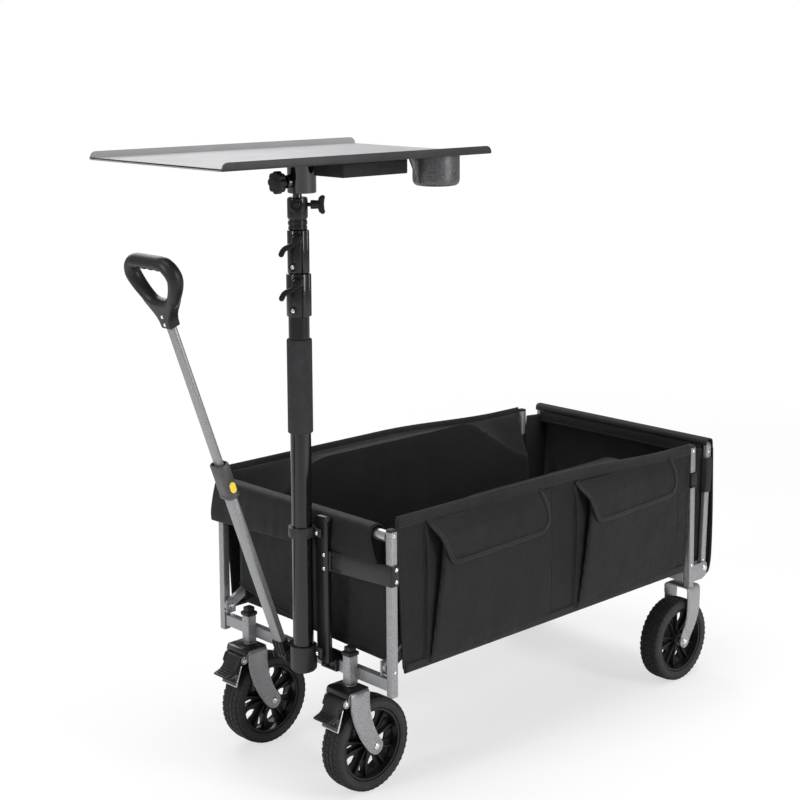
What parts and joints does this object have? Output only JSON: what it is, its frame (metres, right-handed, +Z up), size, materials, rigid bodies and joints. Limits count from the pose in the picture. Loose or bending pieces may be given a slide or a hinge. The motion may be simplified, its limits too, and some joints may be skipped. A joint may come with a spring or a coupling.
{
  "type": "utility wagon",
  "caption": "Folding utility wagon with a fabric bag, rear gate, pull handle and swivelling front wheels, and a telescoping mast that carries a tray with a cup holder.",
  "frame": {"origin": "on the ground, under the middle of the whole object's box", "axes": "+X forward towards the pull handle, +Y to the wagon's left, +Z up"},
  "size_m": [1.2648, 0.538, 1.17],
  "materials": {
    "grey_paint": "speckled hammertone powder coat",
    "black_paint": "satin black",
    "black_plastic": "moulded, fine grain",
    "foam": "matte closed-cell foam",
    "tyre_rubber": "matte with ribbed tread",
    "bag_cloth": "woven polyester, stitched hems",
    "yellow_plastic": "satin yellow",
    "steel": "bright rolled tube",
    "tray_paint": "fine satin powder coat",
    "speckled_paint": "silver and black hammertone"
  },
  "bodies": {
    "front_frame": {"front_post_left": "grey_paint", "front_post_right": "grey_paint", "front_top_rail": "steel", "front_lower_rail": "grey_paint", "caster_tube_left": "grey_paint", "caster_tube_right": "grey_paint", "mast_channel": "black_paint", "mast_ring_clamp": "black_paint", "mast_strap": "black_paint", "mast_socket": "black_paint", "mast_lower_tube": "black_paint", "foam_grip": "foam", "mast_lower_collar": "black_paint", "handle_bracket": "black_plastic", "bag_front": "bag_cloth", "bag_left_wall": "bag_cloth", "bag_right_wall": "bag_cloth", "bag_floor": "bag_cloth"},
    "handle_swing": {"handle_lower_tube": "grey_paint", "handle_collar": "black_plastic"},
    "release_button_press": {"release_button": "yellow_plastic"},
    "handle_extend": {"handle_upper_tube": "grey_paint", "handle_grip": "black_plastic"},
    "mast_middle": {"mast_middle_tube": "black_paint", "mast_upper_collar": "black_paint"},
    "mast_top": {"mast_top_tube": "black_paint", "mast_head": "black_paint"},
    "lower_lever_turn": {"lower_collar_lever": "black_plastic"},
    "upper_lever_turn": {"upper_collar_lever": "black_plastic"},
    "head_wing_knob_turn": {"head_wing_knob": "black_plastic"},
    "tray_turn": {"tray_socket": "black_paint", "tray": "tray_paint", "tray_device_box": "black_plastic", "cup_holder": "speckled_paint"},
    "tray_star_knob_turn": {"tray_star_knob": "black_plastic"},
    "caster_left": {"caster_fork_left": "grey_paint"},
    "front_wheel_left": {"front_left_tyre": "tyre_rubber", "front_left_rim": "black_plastic"},
    "brake_pedal_press_left": {"brake_pedal_left": "black_plastic"},
    "fold_front_left": {"rising_link_front_left": "grey_paint"},
    "fold_rear_left": {"rising_link_rear_left": "grey_paint"},
    "caster_right": {"caster_fork_right": "grey_paint"},
    "front_wheel_right": {"front_right_tyre": "tyre_rubber", "front_right_rim": "black_plastic"},
    "brake_pedal_press_right": {"brake_pedal_right": "black_plastic"},
    "fold_front_right": {"rising_link_front_right": "grey_paint"},
    "fold_rear_right": {"rising_link_rear_right": "grey_paint"},
    "stay_front": {"floor_stay_front": "grey_paint"},
    "stay_rear": {"floor_stay_rear": "grey_paint"},
    "rear_frame": {"rear_post_left": "grey_paint", "rear_post_right": "grey_paint", "rear_lower_rail": "grey_paint", "rear_fork_left": "grey_paint", "rear_fork_right": "grey_paint"},
    "rear_wheel_left": {"rear_left_tyre": "tyre_rubber", "rear_left_rim": "black_plastic"},
    "rear_wheel_right": {"rear_right_tyre": "tyre_rubber", "rear_right_rim": "black_plastic"},
    "gate_swing": {"gate_frame": "grey_paint", "bag_gate_panel": "bag_cloth"}
  },
  "joints": [
    {"name": "handle_swing_hinge", "type": "hinge", "parent": "front_frame", "child": "handle_swing", "pos_m": [0.33912, 0, 0.2323], "axis": [0, 1, 0], "range_deg": [-10, 70]},
    {"name": "release_button_slide", "type": "slide", "parent": "handle_swing", "child": "release_button_press", "axis": [0, -1, 0], "range_m": [0, 0.002], "stiffness_N_per_m": 400},
    {"name": "handle_extend_slide", "type": "slide", "parent": "handle_swing", "child": "handle_extend", "axis": [0.3404, 0, 0.9403], "range_m": [-0.27, 0]},
    {"name": "mast_middle_slide", "type": "slide", "parent": "front_frame", "child": "mast_middle", "axis": [0, 0, 1], "range_m": [0, 0.45]},
    {"name": "mast_top_slide", "type": "slide", "parent": "mast_middle", "child": "mast_top", "axis": [0, 0, 1], "range_m": [0, 0.45]},
    {"name": "lower_lever_hinge", "type": "hinge", "parent": "front_frame", "child": "lower_lever_turn", "pos_m": [0.33732, 0.054, 0.935], "axis": [0.7071, 0.7071, 0], "range_deg": [-90, 90]},
    {"name": "upper_lever_hinge", "type": "hinge", "parent": "mast_middle", "child": "upper_lever_turn", "pos_m": [0.33732, 0.054, 1.0128], "axis": [0.7071, 0.7071, 0], "range_deg": [-90, 90]},
    {"name": "head_wing_knob_hinge", "type": "hinge", "parent": "mast_top", "child": "head_wing_knob_turn", "pos_m": [0.33732, 0.054, 1.0716], "axis": [-0.7071, 0.7071, 0], "continuous": true},
    {"name": "tray_turn_hinge", "type": "hinge", "parent": "mast_top", "child": "tray_turn", "pos_m": [0.33732, 0.054, 1.1555], "axis": [0, 0, 1], "continuous": true},
    {"name": "tray_star_knob_hinge", "type": "hinge", "parent": "tray_turn", "child": "tray_star_knob_turn", "pos_m": [0.33732, 0.054, 1.113], "axis": [1, 0, 0], "continuous": true},
    {"name": "caster_left_swivel", "type": "hinge", "parent": "front_frame", "child": "caster_left", "pos_m": [0.30712, 0.149, 0.203], "axis": [0, 0, 1], "continuous": true},
    {"name": "front_wheel_left_axle", "type": "hinge", "parent": "caster_left", "child": "front_wheel_left", "pos_m": [0.27312, 0.149, 0.0877], "axis": [0, 1, 0], "continuous": true},
    {"name": "brake_pedal_left_hinge", "type": "hinge", "parent": "caster_left", "child": "brake_pedal_press_left", "pos_m": [0.34012, 0.149, 0.1845], "axis": [0, 1, 0], "range_deg": [0, 6]},
    {"name": "caster_right_swivel", "type": "hinge", "parent": "front_frame", "child": "caster_right", "pos_m": [0.30712, -0.149, 0.203], "axis": [0, 0, 1], "continuous": true},
    {"name": "front_wheel_right_axle", "type": "hinge", "parent": "caster_right", "child": "front_wheel_right", "pos_m": [0.27312, -0.149, 0.0877], "axis": [0, 1, 0], "continuous": true},
    {"name": "brake_pedal_right_hinge", "type": "hinge", "parent": "caster_right", "child": "brake_pedal_press_right", "pos_m": [0.34012, -0.149, 0.1845], "axis": [0, 1, 0], "range_deg": [0, 6]},
    {"name": "fold_hinge", "type": "hinge", "parent": "front_frame", "child": "fold_front_left", "pos_m": [0.29232, 0.2329, 0.257], "axis": [0, 1, 0], "range_deg": [0, 46], "deforming": ["bag_left_wall", "bag_right_wall", "bag_floor"]},
    {"name": "fold_front_right_hinge", "type": "hinge", "parent": "front_frame", "child": "fold_front_right", "pos_m": [0.29232, -0.2329, 0.257], "axis": [0, 1, 0], "range_deg": [0, 46]},
    {"name": "fold_rear_left_hinge", "type": "hinge", "parent": "fold_front_left", "child": "fold_rear_left", "pos_m": [-0.13318, 0.2239, 0.50266], "axis": [0, 1, 0], "range_deg": [-92, 0]},
    {"name": "fold_rear_right_hinge", "type": "hinge", "parent": "fold_front_right", "child": "fold_rear_right", "pos_m": [-0.13318, -0.2239, 0.50266], "axis": [0, 1, 0], "range_deg": [-92, 0]},
    {"name": "stay_front_hinge", "type": "hinge", "parent": "fold_front_left", "child": "stay_front", "pos_m": [0.07957, 0, 0.37983], "axis": [0, 1, 0], "range_deg": [-92, 0]},
    {"name": "stay_rear_hinge", "type": "hinge", "parent": "fold_rear_left", "child": "stay_rear", "pos_m": [-0.34593, 0, 0.37983], "axis": [0, 1, 0], "range_deg": [0, 92]},
    {"name": "rear_frame_hinge", "type": "hinge", "parent": "fold_rear_left", "child": "rear_frame", "pos_m": [-0.55868, 0, 0.257], "axis": [0, 1, 0], "range_deg": [0, 46]},
    {"name": "rear_wheel_left_axle", "type": "hinge", "parent": "rear_frame", "child": "rear_wheel_left", "pos_m": [-0.54168, 0.219, 0.0877], "axis": [0, 1, 0], "continuous": true},
    {"name": "rear_wheel_right_axle", "type": "hinge", "parent": "rear_frame", "child": "rear_wheel_right", "pos_m": [-0.54168, -0.219, 0.0877], "axis": [0, 1, 0], "continuous": true},
    {"name": "gate_hinge", "type": "hinge", "parent": "rear_frame", "child": "gate_swing", "pos_m": [-0.60618, 0, 0.236], "axis": [0, -1, 0], "range_deg": [0, 87]}
  ],
  "couplings": [
    {"joint": "fold_front_right_hinge", "follows": "fold_hinge", "ratio": 1},
    {"joint": "fold_rear_left_hinge", "follows": "fold_hinge", "ratio": -2},
    {"joint": "fold_rear_right_hinge", "follows": "fold_hinge", "ratio": -2},
    {"joint": "stay_front_hinge", "follows": "fold_hinge", "ratio": -2},
    {"joint": "stay_rear_hinge", "follows": "fold_hinge", "ratio": 2},
    {"joint": "rear_frame_hinge", "follows": "fold_hinge", "ratio": 1}
  ]
}
